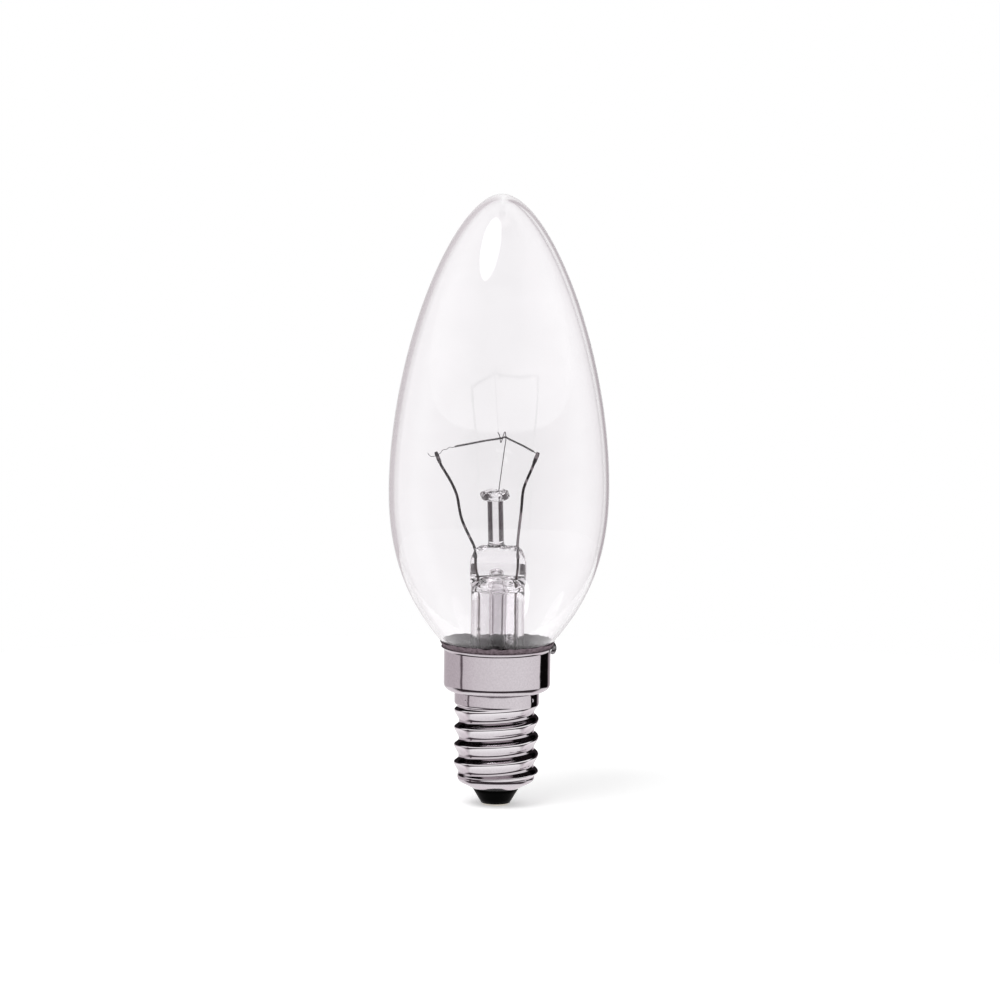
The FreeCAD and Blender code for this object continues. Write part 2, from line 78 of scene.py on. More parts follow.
def math_of(tree, operation, *values, clamp=False):
    """One step of arithmetic in a tree, from sockets or plain numbers."""
    plain = {i: v for i, v in enumerate(values) if isinstance(v, (int, float))}
    linked = {i: v for i, v in enumerate(values) if i not in plain}
    settings = {"operation": operation, "use_clamp": clamp}
    return add_node(tree, "ShaderNodeMath", settings, plain, linked).outputs[0]


def set_ramp(made, stops):
    """Gives a ramp its stops, each a place and a colour."""
    ramp = made.color_ramp
    for element, (place, colour) in zip(ramp.elements, (stops[0], stops[-1])):
        element.position = place
        element.color = colour
    for place, colour in stops[1:-1]:
        ramp.elements.new(place).color = colour
    return made.outputs["Color"]


DARK_BELOW = 0.35
LIGHT_ABOVE = 0.65
PATCH_START = 0.55
PATCH_ABOVE = 0.58
GLOSS_GRAIN = {"From Min": 0.3, "From Max": 0.7}


def finish_of(name, dark, light, roughness, grain_mm, relief_mm, constants, patch=None, dent=None):
    """A finish whose colour and gloss vary with a grain of a real size, with a fine relief.

    A patch is a third colour for the highest grain. A dent is a slow relief: its size and depth.
    """
    material = bpy.data.materials.new(name)
    material.use_nodes = True
    tree = material.node_tree
    tree.nodes.clear()
    place = add_node(tree, "ShaderNodeTexCoord")
    grain = add_node(
        tree, "ShaderNodeTexNoise",
        inputs={"Scale": 1 / (grain_mm * MM), "Detail": 4.0, "Roughness": 0.6},
        links={"Vector": place.outputs["Object"]},
    )
    colour = add_node(tree, "ShaderNodeValToRGB", links={"Fac": grain.outputs["Fac"]})
    stops = [(DARK_BELOW, linear(dark)), (PATCH_START if patch else LIGHT_ABOVE, linear(light))]
    if patch:
        stops.append((PATCH_ABOVE, linear(patch)))
    set_ramp(colour, stops)
    shader = add_node(
        tree, "ShaderNodeBsdfPrincipled", inputs={"Roughness": roughness[0], **constants},
        links={"Base Color": colour.outputs["Color"]},
    )
    if roughness[0] < roughness[1]:
        gloss = add_node(
            tree, "ShaderNodeMapRange",
            inputs={**GLOSS_GRAIN, "To Min": roughness[0], "To Max": roughness[1]},
            links={"Value": grain.outputs["Fac"]},
        )
        tree.links.new(gloss.outputs["Result"], shader.inputs["Roughness"])
    if relief_mm:
        relief = add_node(
            tree, "ShaderNodeBump", inputs={"Strength": 1.0, "Distance": relief_mm * MM},
            links={"Height": grain.outputs["Fac"]},
        )
        if dent:
            dents = add_node(
                tree, "ShaderNodeTexNoise", inputs={"Scale": 1 / (dent[0] * MM), "Detail": 1.0},
                links={"Vector": place.outputs["Object"]},
            )
            relief = add_node(
                tree, "ShaderNodeBump", inputs={"Strength": 1.0, "Distance": dent[1] * MM},
                links={"Height": dents.outputs["Fac"], "Normal": relief.outputs["Normal"]},
            )
        tree.links.new(relief.outputs["Normal"], shader.inputs["Normal"])
    add_node(tree, "ShaderNodeOutputMaterial", links={"Surface": shader.outputs["BSDF"]})
    return material


print("white is", linear("FFFFFF")[:3])

# %% [markdown]
# The lamp has two glasses. The bulb is blown soda-lime glass: clear, fire-polished and faintly
# uneven, which the eye sees only as a slow waver. The stem is drawn tube glass, a little denser.
# The black insulator is pressed glass too, but opaque and matt, so it is made as a dull solid.
# %% Glass finishes
GLASS = {"Transmission Weight": 1.0, "IOR": 1.52}
DULL_BLACK = {"IOR": 1.52, "Specular IOR Level": 0.02}
DENSE_GLASS = {"Transmission Weight": 1.0, "IOR": 1.56}
CLEAR = (0.0, 0.0)
blown_glass = finish_of("blown soda-lime glass", "FBFAFB", "FEFDFE", CLEAR, 14.0, 0.004, GLASS)
stem_glass = finish_of("drawn tube glass", "F8F6F8", "FDFCFD", CLEAR, 3.0, 0.02, DENSE_GLASS)
black_glass = finish_of("pressed black glass", "010101", "030303", (0.3, 0.45), 1.2, 0.01, DULL_BLACK)
print("glasses", blown_glass.name, stem_glass.name, black_glass.name)

# %% [markdown]
# The cap is thin brass sheet, drawn, rolled and nickel plated: a cool, slightly pink grey that
# is nearly a mirror, dulled a little where the rolls pressed it. The wires are nickel, darkened
# by the flame that sealed the stem. Solder is tin that froze as a drop, with burnt flux on it.
# %% Metal finishes
METAL = {"Metallic": 1.0}
MATT = {"IOR": 1.5}
nickel = finish_of(
    "nickel plated brass sheet", "CDC6CB", "D6CFD4", (0.03, 0.08), 0.3, 0.0005, METAL, dent=(2.2, 0.03),
)
# The bright patch colour 9A9195 on this dark wire is a painted highlight.
dark_nickel = finish_of(
    "flame darkened nickel wire", "0A0708", "2A2226", (0.35, 0.5), 1.3, 0.03, MATT, patch="9A9195",
)
tungsten = finish_of("drawn tungsten wire", "2A2628", "5A5558", (0.3, 0.45), 0.2, 0.004, METAL)
bright_wire = finish_of("drawn molybdenum wire", "565256", "8E898D", (0.25, 0.4), 0.4, 0.002, METAL)
sealing = finish_of("copper clad sealing wire", "241A1C", "5E4A4C", (0.3, 0.45), 0.5, 0.01, METAL)
copper = finish_of("heated copper wire", "3E3033", "7C6668", (0.25, 0.4), 0.5, 0.006, METAL)
contact = finish_of("stamped brass", "9C8350", "C6AE78", (0.2, 0.35), 0.8, 0.004, METAL)
solder = finish_of("frozen tin solder", "1E1A1C", "C8C5C8", (0.12, 0.35), 1.0, 0.06, METAL)
cement_finish = finish_of("baked capping cement", "5C4E55", "8D7D85", (0.75, 0.9), 0.5, 0.08, MATT)
print("metals", nickel.name, dark_nickel.name, solder.name)

# %% [markdown]
# Two of the metals aren't the same all over. The dark lead wire has bright patches of painted
# highlight, wider at the foot of the right lead. The thread's crests carry a painted highlight,
# and the cap's mesh says where, in an attribute that its node tree stores.
# %% Painted highlights on the leads and the thread's crests
# The painted highlight patches grow wider towards the foot of the right lead.
highlight_full_height = 46.5
highlight_start_height = 48.0
highlight_side = 2.0
highlight_share = 0.2


def range_of(tree, value, start, end, most):
    """From 0 at the start to the most at the end, both in millimetres."""
    made = add_node(
        tree, "ShaderNodeMapRange",
        inputs={"From Min": start * MM, "From Max": end * MM, "To Max": most}, links={"Value": value},
    )
    return made.outputs["Result"]


tree = dark_nickel.node_tree
ramp = next(n for n in tree.nodes if n.type == "VALTORGB")
grain = ramp.inputs["Fac"].links[0].from_socket
place = add_node(tree, "ShaderNodeTexCoord").outputs["Object"]
axes = add_node(tree, "ShaderNodeSeparateXYZ", links={"Vector": place}).outputs
low_down = range_of(tree, axes["Z"], highlight_start_height, highlight_full_height, highlight_share)
on_the_right = range_of(tree, axes["X"], 0, highlight_side, 1.0)
more_highlight_patches = math_of(tree, "MULTIPLY_ADD", low_down, on_the_right, grain)
tree.links.new(more_highlight_patches, ramp.inputs["Fac"])
tree = nickel.node_tree
shader = next(n for n in tree.nodes if n.type == "BSDF_PRINCIPLED")
plain_colour = shader.inputs["Base Color"].links[0].from_socket
# The thread's crests are mixed towards a light colour: a painted highlight.
highlit_crests = add_node(tree, "ShaderNodeAttribute", {"attribute_name": "crest_highlight"})
crest_colour = add_node(
    tree, "ShaderNodeMix", {"data_type": "RGBA"}, {7: linear("F6F2F5")},
    {0: highlit_crests.outputs["Fac"], 6: plain_colour},
)
tree.links.new(crest_colour.outputs[2], shader.inputs["Base Color"])
print("nodes", {m.name: len(m.node_tree.nodes) for m in (nickel, dark_nickel)})

FINISHES = {
    "clear_glass": blown_glass, "stem_glass": stem_glass, "nickel_plate": nickel,
    "black_glass": black_glass, "cement": cement_finish, "nickel_wire": dark_nickel,
    "seal_wire": sealing, "copper_wire": copper, "tungsten_wire": tungsten,
    "support_wire": bright_wire, "contact_brass": contact, "solder": solder,
}

# %% [markdown]
# The glass and the cap are turned or pinched. One helper skins a stack of rings, and a ring may
# be round or oval. A ring of one point is a pole, so a turned shape closes on its axis.
# %% Helpers for pieces
SLOT_OF = {s["node"]: s["material_slot"] for s in frame["record"]["subparts"]}
stood_for = set()


def seat(piece, *nodes):
    """Gives a finished piece its finish, its body and the CAD nodes that it stands for."""
    slot = SLOT_OF[nodes[0]]
    piece.data.materials.clear()
    piece.data.materials.append(FINISHES[slot])
    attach(piece, "root")
    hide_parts(*nodes)
    stood_for.update(nodes)
    print(piece.name, "triangles", sum(len(p.vertices) - 2 for p in piece.data.polygons))


def new_piece(name, points, faces):
    """A smooth piece from points in millimetres, with its faces turned outwards."""
    mesh = bpy.data.meshes.new(name)
    mesh.from_pydata([tuple(c * MM for c in p) for p in points], [], faces)
    shape = bmesh.new()
    shape.from_mesh(mesh)
    bmesh.ops.recalc_face_normals(shape, faces=shape.faces)
    shape.to_mesh(mesh)
    shape.free()
    mesh.shade_smooth()
    mesh.set_sharp_from_angle(angle=math.radians(50))
    piece = bpy.data.objects.new(name, mesh)
    scene.collection.objects.link(piece)
    return piece


def oval(half_x, half_y, squareness, height, around):
    """A closed ring between an ellipse (2) and a rounded rectangle (4 and more)."""
    ring = []
    for step in range(around):
        angle = 2 * math.pi * step / around
        across = math.copysign(abs(math.cos(angle)) ** (2 / squareness), math.cos(angle))
        depth = math.copysign(abs(math.sin(angle)) ** (2 / squareness), math.sin(angle))
        ring.append((half_x * across, half_y * depth, height))
    return ring


def skinned(name, rings, around, closed=False):
    """A skin over rings in order, where a ring of one point is a pole."""
    points = []
    places = []
    for ring in rings:
        places.append(list(range(len(points), len(points) + len(ring))))
        points.extend(ring)
    pairs = list(zip(places, places[1:]))
    if closed:
        pairs.append((places[-1], places[0]))
    faces = []
    for low, high in pairs:
        for step in range(around):
            after = (step + 1) % around
            corners = [low[step % len(low)], low[after % len(low)]]
            corners += [high[after % len(high)], high[step % len(high)]]
            face = list(dict.fromkeys(corners))
            if len(face) > 2:
                faces.append(face)
    return new_piece(name, points, faces)


def turned(name, outline, around):
    """An outline of (radius, height) turned about the lamp's axis."""
    rings = []
    for radius, height in outline:
        rings.append([(0, 0, height)] if radius < 1e-6 else oval(radius, radius, 2, height, around))
    return skinned(name, rings, around)


def curve(poles, count):
    """Points of a Bezier curve with these poles, both ends included."""
    points = []
    for step in range(count + 1):
        row = [Vector(p) for p in poles]
        while len(row) > 1:
            row = [a.lerp(b, step / count) for a, b in zip(row, row[1:])]
        points.append(tuple(row[0]))
    return points


def joined(*runs):
    """One outline from several runs, without the points that neighbours share."""
    outline = []
    for p in [p for run in runs for p in run]:
        if not outline or math.dist(p, outline[-1]) > 1e-5:
            outline.append(p)
    return outline


print("slots", len(set(SLOT_OF.values())))

# %% [markdown]
# The bulb is one blown bubble of glass: an even wall, a little heavier at the tip, narrowing to
# a neck that the cap is cemented to. It could be a sphere pulled into shape, but a turned
# outline keeps the candle's long curve exact and gives both faces of the wall, which is what
# makes the edges of clear glass show.
# %% Blown bulb
low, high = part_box("glass_bulb")
bulb_radius = high.x / MM
bulb_top = high.z / MM
neck_end = low.z / MM
widest = 50.5
glass_wall = 0.7
tip_wall = 0.9
neck_radius = 7.2
neck_height = 22.4
throat_radius = 8.5
throat_height = 25.7
neck_blend = 24.05
crown_reach = 7.5
crown_drop = 22.2
belly_drop = 13
throat_pull = (4.335, 5.1)
fall_pull = (0.935, 1.1)
rim_round = 0.3


def bulb_skin(inset, top_inset):
    """One face of the wall, from the tip down to the neck."""
    radius = bulb_radius - inset
    top = bulb_top - top_inset
    throat = throat_radius - inset
    neck = neck_radius - inset
    crown = [(0, top), (crown_reach * radius / bulb_radius, top),
             (radius, widest + crown_drop - top_inset), (radius, widest)]
    belly = [(radius, widest), (radius, widest - belly_drop),
             (throat + throat_pull[0], throat_height + throat_pull[1]), (throat, throat_height)]
    fall = [(throat, throat_height), (throat - fall_pull[0], throat_height - fall_pull[1]),
            (neck, neck_blend), (neck, neck_height)]
    return joined(curve(crown, 44), curve(belly, 30), curve(fall, 10))


outside = bulb_skin(0, 0)
inside = bulb_skin(glass_wall, tip_wall)
neck_bore = neck_radius - glass_wall
edge = curve([(neck_radius, neck_end + rim_round), (neck_radius, neck_end),
              (neck_radius - glass_wall / 2, neck_end)], 4)
back = curve([edge[-1], (neck_bore, neck_end), (neck_bore, neck_end + rim_round)], 4)
seat(turned("blown_bulb", joined(outside, edge, back, inside[::-1]), 176), "glass_bulb")

# %% [markdown]
# The stem starts as a tube with a flared foot. Its top is heated and pinched flat round the
# wires, and the pinch keeps the tube's air as an arch. Rings that pass from round to nearly
# square, eased from one to the next, give the soft shoulders of squeezed glass.
# %% Pinched stem
AROUND_STEM = 88
flare_rim = 6.5
stem_radius = 4.25
bore = 3.35
flare_height = 23.6
pinch_top = 41.6
pinch_bend = 39.9
arch_foot = 34.0
arch_top = 36.68
bubble_side = -0.25
bubble_height = 37.4
bubble_half = (1.2, 0.8, 0.68)
BUBBLE_STEPS = 14
# Unseeded, this noise starts from the clock, and the worked glass differs from run to run.
WORKED_SEED = 1795999205
noise.seed_set(WORKED_SEED)


def eased(stations, count=9):
    """Rings through stations of (height, half width, half depth, squareness), without a crease."""
    rings = []
    ends = [stations[0]] + stations + [stations[-1]]
    for before, a, b, after in zip(ends, ends[1:], ends[2:], ends[3:]):
        for step in range(count):
            t = step / count
            weights = [-t + 2 * t * t - t ** 3, 2 - 5 * t * t + 3 * t ** 3,
                       t + 4 * t * t - 3 * t ** 3, t ** 3 - t * t]
            columns = zip(before, a, b, after)
            sizes = [sum(w * v for w, v in zip(weights, column)) / 2 for column in columns]
            rings.append(oval(*sizes[1:], sizes[0], AROUND_STEM))
    return rings


def worked(rings, start, depth, grain=0.9):
    """Rings that are uneven above a height, as glass is that was squeezed while soft."""
    uneven = []
    for ring in rings:
        share = min(1, max(0, (ring[0][2] - start) / 1.5)) if len(ring) > 1 else 0
        push = depth * share
        uneven.append([tuple(Vector(p) + push * noise.noise_vector(Vector(p) * grain)) for p in ring])
    return uneven


flare_out = curve([(stem_radius, flare_height), (stem_radius, 22.8), (4.85, 20.8),
                   (flare_rim, 20.8)], 12)
flare_in = curve([(6.1, neck_end), (3.75, neck_end), (bore, 22.4), (bore, flare_height)], 12)
head = eased([(pinch_top, 2.9, 0.7, 2.4), (41.4, 3.4, 1.15, 2.8), (40.6, 3.95, 1.45, 3.2),
              (39.3, 4.4, 1.7, 3.4), (38.0, 4.48, 1.78, 3.3), (36.8, 4.45, 1.85, 3.0),
              (35.4, 4.35, 3.0, 2.3), (34.2, stem_radius, stem_radius, 2),
              (flare_height, stem_radius, stem_radius, 2)])
foot = [oval(r, r, 2, z, AROUND_STEM) for r, z in joined(flare_out, [(flare_rim, neck_end)], flare_in)]
arch = eased([(flare_height + 0.1, bore, bore, 2), (33.4, bore, bore, 2), (34.6, 3.6, 2.7, 2.1),
              (35.6, 3.15, 1.7, 2.2), (36.5, 1.9, 0.8, 2.2), (36.65, 0.7, 0.3, 2)])
outer_skin = [[(0, 0, pinch_top)]] + worked(head, pinch_bend, -0.3, 1.1) + foot
inner_skin = worked(arch, arch_foot, 0.25) + [[(0, 0, arch_top)]]
stem = skinned("pinched_stem", outer_skin + inner_skin, AROUND_STEM)
half_x, half_y, half_z = bubble_half
bubble_rings = [[(bubble_side, 0, bubble_height - half_z)]]
for step in range(1, BUBBLE_STEPS):
    angle = math.pi * step / BUBBLE_STEPS
    wide = math.sin(angle)
    ring = oval(half_x * wide, half_y * wide, 2, bubble_height - half_z * math.cos(angle), AROUND_STEM)
    bubble_rings.append([(x + bubble_side, y, z) for x, y, z in ring])
bubble_rings.append([(bubble_side, 0, bubble_height + half_z)])
bubble = skinned("bubble", bubble_rings, AROUND_STEM)
bubble.data.flip_normals()
both = bmesh.new()
both.from_mesh(stem.data)
both.from_mesh(bubble.data)
both.to_mesh(stem.data)
both.free()
bpy.data.objects.remove(bubble)
seat(stem, "stem_tube")

# %% [markdown]
# A thin tube runs down inside the stem. The lamp was emptied through it, and then its end was
# melted shut. A turned outline shows both walls, which draw the thin grey lines in the stem.
# The tube ends where it meets the arch, because glass drawn inside glass would show a false edge.
# %% Exhaust tube
pump_radius = 1.35
pump_bore = 0.85
pump_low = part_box("exhaust_tube")[0].z / MM
pump_high = 36.0
tip = curve([(0, pump_low), (0.7, pump_low), (pump_radius, 10.35), (pump_radius, 12)], 8)
well = curve([(pump_bore, 12.8), (pump_bore, 11), (0.4, 10.3), (0, 10.25)], 8)
walls = [(pump_radius, pump_high), (pump_bore, pump_high)]
seat(turned("exhaust_tube_glass", joined(tip, walls, well), 56), "exhaust_tube")

# %% [markdown]
# A short solid glass rod stands on the pinch, and its end is pressed into a button that holds
# the support wire. It leans a little, as hand-set rods do. Its foot spreads where it was fused.
# %% Support rod
lean = math.radians(1.8)
rod_side = -0.36
rod_foot = 41.52
rod_radius = 1.25
foot_radius = 1.5
button_radius = 2.28
button_depth = 1.6
rod_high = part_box("support_rod")[1].z / MM
button = rod_high - rod_foot
foot_run = curve([(foot_radius, 0), (foot_radius, 0.2), (rod_radius, 0.35), (rod_radius, 0.7)], 8)
under = curve([(rod_radius, button - button_depth), (1.98, button - button_depth),
               (button_radius, button - 1.3), (button_radius, button - 0.7)], 8)
face_run = curve([(button_radius, button - 0.7), (button_radius, button), (1.37, button)], 8)
shaft = [(rod_radius, h * button / 20) for h in range(4, 15)]
rod_rings = [oval(r, r, 2, z, AROUND_STEM) for r, z in joined(foot_run, shaft, under, face_run)]
rod_rings = [[(0, 0, 0)]] + worked(rod_rings, button - button_depth, 0.3, 1.6) + [[(0, 0, button)]]
rod = skinned("support_rod_glass", rod_rings, AROUND_STEM)
standing = Matrix.Translation((rod_side * MM, 0, rod_foot * MM)) @ Matrix.Rotation(-lean, 4, "Y")
rod.data.transform(standing)
seat(rod, "support_rod")

# %% [markdown]
# The leads are thick soft wires, bent by hand, so no bend is a clean arc. A smooth curve with
# its own radius at each point gives the wire and its folded clamp in one piece. The places are
# in millimetres from the lamp's foot.
# %% Bent wires
lead_radius = 0.22
support_radius = 0.07
CLAMP = [(1.9, 0.22), (1.7, 0.31), (0.9, 0.32), (0.1, 0.3), (0.0, 0.22)]


def routed(name, route):
    """An object that carries a smooth curve, and the spline in it."""
    data = bpy.data.curves.new(name + "_route", "CURVE")
    data.dimensions = "3D"
    spline = data.splines.new("NURBS")
    spline.points.add(len(route) - 1)
    for target, place in zip(spline.points, route):
        target.co = (*[c * MM for c in place], 1.0)
    spline.order_u = 3
    spline.use_endpoint_u = True
    carrier = bpy.data.objects.new(name + "_route", data)
    scene.collection.objects.link(carrier)
    return carrier, spline


def as_piece(name, carrier):
    """The mesh that a carrier gives, as a smooth piece. The carrier goes."""
    view = bpy.context.evaluated_depsgraph_get()
    mesh = bpy.data.meshes.new_from_object(carrier.evaluated_get(view))
    bpy.data.objects.remove(carrier)
    mesh.shade_smooth()
    piece = bpy.data.objects.new(name, mesh)
    scene.collection.objects.link(piece)
    return piece


def bent_wire(name, route, radii):
    """A round wire along a smooth curve, with its radius in millimetres at each point."""
    carrier, spline = routed(name, route)
    carrier.data.bevel_depth = MM
    carrier.data.bevel_resolution = 5
    carrier.data.use_fill_caps = True
    carrier.data.resolution_u = 10
    spline.resolution_u = 10
    for target, radius in zip(spline.points, radii):
        target.radius = radius
    return as_piece(name, carrier)


def lead(name, route, node):
    """A lead with a thin shaft and a thicker folded clamp at its tip."""
    tip, before = Vector(route[-1]), Vector(route[-2])
    way = (before - tip).normalized()
    folded = [tuple(tip + way * back) for back, radius in CLAMP]
    radii = [lead_radius] * (len(route) - 1) + [radius for back, radius in CLAMP]
    seat(bent_wire(name, route[:-1] + folded, radii), node)


left_route = [(-3.4, 0, 39.6), (-3.6, 0, 41.1), (-4.75, 0, 43.3), (-5.9, 0, 45.7), (-6.3, 0, 47.6),
              (-6.6, 0, 49.6), (-7.65, 0, 51.9), (-9.2, 0, 54.3), (-10.1, 0, 56.5)]
right_route = [(3.0, 0, 39.6), (3.0, 0, 41.8), (3.25, 0, 44.4), (3.6, 0, 47.5), (3.75, 0, 50.4),
               (4.3, 0, 52.0), (5.05, 0, 53.7), (6.15, 0, 56.6)]
lead("left_lead", left_route, "lead_wire_left")
lead("right_lead", right_route, "lead_wire_right")
hook = [(-0.14, 0, 49.45), (0.02, 0, 51.05), (0.95, 0, 58.3), (1.02, 0.3, 58.7), (0.86, 0.3, 60.0),
        (0.55, -0.3, 59.2), (0.2, -0.3, 57.9), (0.1, 0, 58.6), (-0.02, 0.3, 59.3), (-0.3, 0.1, 59.7)]
seat(bent_wire("support_wire", hook, [support_radius] * len(hook)), "support_hook")

# %% [markdown]
# The filament is tungsten wire wound into a fine coil. Geometry Nodes wind it: the route is cut
# into many steps, each step is pushed out from the route at a turning angle, and a thin round
# section runs along the result. The real turns are finer than the picture can show, so they are
# drawn about twice as coarse.
# %% Wound filament
STEPS_IN_TURN = 12.0
COIL = {"Turns": 62.0, "Coil Radius": 0.13 * MM, "Wire Radius": 0.06 * MM}
leg_radius = 0.06
bare_radius = 0.045


def new_tree(name, values):
    """An empty node tree with geometry in and out, named numbers and a finish."""
    tree = bpy.data.node_groups.new(name, "GeometryNodeTree")
    face = tree.interface
    face.new_socket("Geometry", in_out="INPUT", socket_type="NodeSocketGeometry")
    for value in values:
        face.new_socket(value, in_out="INPUT", socket_type="NodeSocketFloat")
    face.new_socket("Finish", in_out="INPUT", socket_type="NodeSocketMaterial")
    face.new_socket("Geometry", in_out="OUTPUT", socket_type="NodeSocketGeometry")
    return tree


def end_tree(tree, made, finish):
    """Ends a tree with real geometry that carries its finish."""
    real = add_node(tree, "GeometryNodeRealizeInstances", links={"Geometry": made})
    done = add_node(
        tree, "GeometryNodeSetMaterial",
        links={"Geometry": real.outputs["Geometry"], "Material": finish},
    )
    add_node(tree, "NodeGroupOutput", links={"Geometry": done.outputs["Geometry"]})


def shaped_by(carrier, tree, values, material):
    """Puts a tree on a carrier, with its inputs set by socket identifier."""
    modifier = carrier.modifiers.new(tree.name, "NODES")
    modifier.node_group = tree
    for socket in tree.interface.items_tree:
        if socket.in_out == "INPUT" and socket.name in values:
            modifier[socket.identifier] = values[socket.name]
        if socket.in_out == "INPUT" and socket.name == "Finish":
            modifier[socket.identifier] = material


def coil_tree():
    """The node tree that winds a coil round a route."""
    tree = new_tree("wind a coil", COIL)
    step_of = partial(math_of, tree)
    given = add_node(tree, "NodeGroupInput").outputs
    cut = add_node(tree, "GeometryNodeResampleCurve",
                   links={"Curve": given["Geometry"],
                          "Count": step_of("MULTIPLY", given["Turns"], STEPS_IN_TURN)})
    share = add_node(tree, "GeometryNodeSplineParameter").outputs["Factor"]
    angle = step_of("MULTIPLY", step_of("MULTIPLY", share, given["Turns"]), 2 * math.pi)
    side = add_node(tree, "GeometryNodeInputNormal").outputs["Normal"]
    along = add_node(tree, "GeometryNodeInputTangent").outputs["Tangent"]
    push = add_node(tree, "ShaderNodeVectorRotate", {"rotation_type": "AXIS_ANGLE"},
                    links={"Vector": side, "Axis": along, "Angle": angle})
    reach = add_node(tree, "ShaderNodeVectorMath", {"operation": "SCALE"},
                     links={0: push.outputs["Vector"], "Scale": given["Coil Radius"]})
    moved = add_node(tree, "GeometryNodeSetPosition",
                     links={"Geometry": cut.outputs["Curve"], "Offset": reach.outputs["Vector"]})
    section = add_node(tree, "GeometryNodeCurvePrimitiveCircle", inputs={"Resolution": 6},
                       links={"Radius": given["Wire Radius"]})
    wire = add_node(
        tree, "GeometryNodeCurveToMesh", inputs={"Fill Caps": True},
        links={"Curve": moved.outputs["Geometry"], "Profile Curve": section.outputs["Curve"]},
    )
    end_tree(tree, wire.outputs["Mesh"], given["Finish"])
    return tree


coil_route = [(-7.05, 0, 57.4), (-4.5, 0, 57.9), (-2.3, 0, 58.38), (0.2, 0, 58.75), (0.9, 0, 59.05),
              (1.3, 0, 58.75), (2.5, 0, 58.2), (4.0, 0, 57.5), (5.4, 0, 56.7)]
carrier = routed("filament_coil", coil_route)[0]
shaped_by(carrier, coil_tree(), COIL, tungsten)
coil = as_piece("filament_coil", carrier)
left_end = [(-11.35, 0, 56.3), (-11.05, 0, 55.7), (-10.2, 0, 55.8), (-9.4, 0, 56.2), (-8.95, 0, 56.95),
            (-8.35, 0, 56.85), (-7.95, 0, 57.35), (-7.4, 0, 57.15), (-7.05, 0, 57.4)]
right_end = [(5.4, 0, 56.7), (5.75, 0, 56.5), (6.0, 0, 56.25)]
legs = [bent_wire("left_leg", left_end, [bare_radius] * len(left_end)),
        bent_wire("right_leg", right_end, [leg_radius] * len(right_end))]
whole = bmesh.new()
for part in [coil] + legs:
    whole.from_mesh(part.data)
whole.to_mesh(coil.data)
whole.free()
coil.data.shade_smooth()
for leg in legs:
    bpy.data.objects.remove(leg)
seat(coil, "filament")

# %% [markdown]
# The cap is one piece of sheet: a lip, a plain collar, a shoulder, a band and a rolled thread
# that fades out at both ends. The plain wall is turned first. Geometry Nodes then roll the
# thread into it by its own law: the radius at a place follows a wave whose crest climbs one
# pitch in a turn. The thread is right-hand, as a holder needs.
# %% Turned cap wall
crest_sharpness = 1.5
crest_skew = 0.42
cap_wall = 0.3
collar_radius = 8.5
lip_height = 25.4
lip_depth = 0.6
lip_flare = 0.4
collar_bottom = 18.4
collar_round = 1.2
band_radius = 6.75
root_radius = 6.0
pitch = 2.822
thread_bottom = 4.5
band_bottom = 16.5
left_crest = 12.35
runout = 0.9
end_radius = 6.15
hole_radius = 3.7
end_height = 2.6
inner_round = 0.15
stake_height = 17.3
STAKES = [(-32.0, 0.4), (-136.4, 0.2)]
stake_depth = 0.06
SPREAD = [step / 4 for step in range(-4, 5)]
PLAIN_TURNS = 168
THREAD_ROWS = 160
turns = [math.radians(360 * step / PLAIN_TURNS) for step in range(PLAIN_TURNS)]
for degrees, half in STAKES:
    for share in SPREAD:
        turns.append((math.radians(degrees) + share * half / band_radius) % (2 * math.pi))
turns = sorted(turns)
AROUND_CAP = len(turns)


def cap_ring(radius, height):
    """A ring of the cap, with a round dimple where a punch marked the band."""
    ring = []
    for angle in turns:
        pressed = radius
        for degrees, half in STAKES:
            away = (angle - math.radians(degrees) + math.pi) % (2 * math.pi) - math.pi
            far = min(1.0, math.hypot(away * band_radius, height - stake_height) / half)
            if radius > band_radius - 0.01:
                pressed -= stake_depth * (1 - far * far) ** 2
        ring.append((pressed * math.cos(angle), pressed * math.sin(angle), height))
    return ring


def arc(centre, radius, start, end, count=8):
    """Points of an arc, its angles in degrees from +radius towards +height."""
    angles = [math.radians(start + (end - start) * step / count) for step in range(count + 1)]
    return [(centre[0] + radius * math.cos(a), centre[1] + radius * math.sin(a)) for a in angles]


def cap_face(inset):
    """One face of the sheet from the lip down to the hole, with its rolled stretch left plain."""
    radius = collar_radius - inset
    floor = collar_bottom + inset
    turn = collar_round - inset / 2
    flared = curve([(radius + lip_flare, lip_height), (radius, lip_height - lip_depth / 3),
                    (radius, lip_height - lip_depth)], 8)
    rounded = arc((radius - turn, floor + turn), turn, 0, -90)
    band_side = band_radius - inset
    inner = arc((band_side + inner_round, floor - inner_round), inner_round, 90, 180, 5)
    marked = [stake_height + share * half for degrees, half in STAKES for share in SPREAD]
    band = [(band_side, height) for height in sorted(marked, reverse=True)]
    drop = (band_bottom - thread_bottom) / THREAD_ROWS
    rolled = [(band_side, band_bottom - drop * row) for row in range(THREAD_ROWS)]
    rolled.append((band_side, thread_bottom))
    side = end_radius - inset
    bend = curve([(side, thread_bottom), (side, 3.9 + inset), (side - 0.5, 3.63 + inset)], 10)
    return joined(flared, rounded, inner, band, rolled), bend + [(hole_radius, end_height + inset)]


def cap_rings(inset):
    """The rings of one face and, for each ring, whether the thread is rolled into it."""
    wall, end = cap_face(inset)
    marks = [1.0 if thread_bottom <= z <= band_bottom else 0.0 for r, z in wall]
    return [cap_ring(r, z) for r, z in wall + end[1:]], marks + [0.0] * len(end[1:])


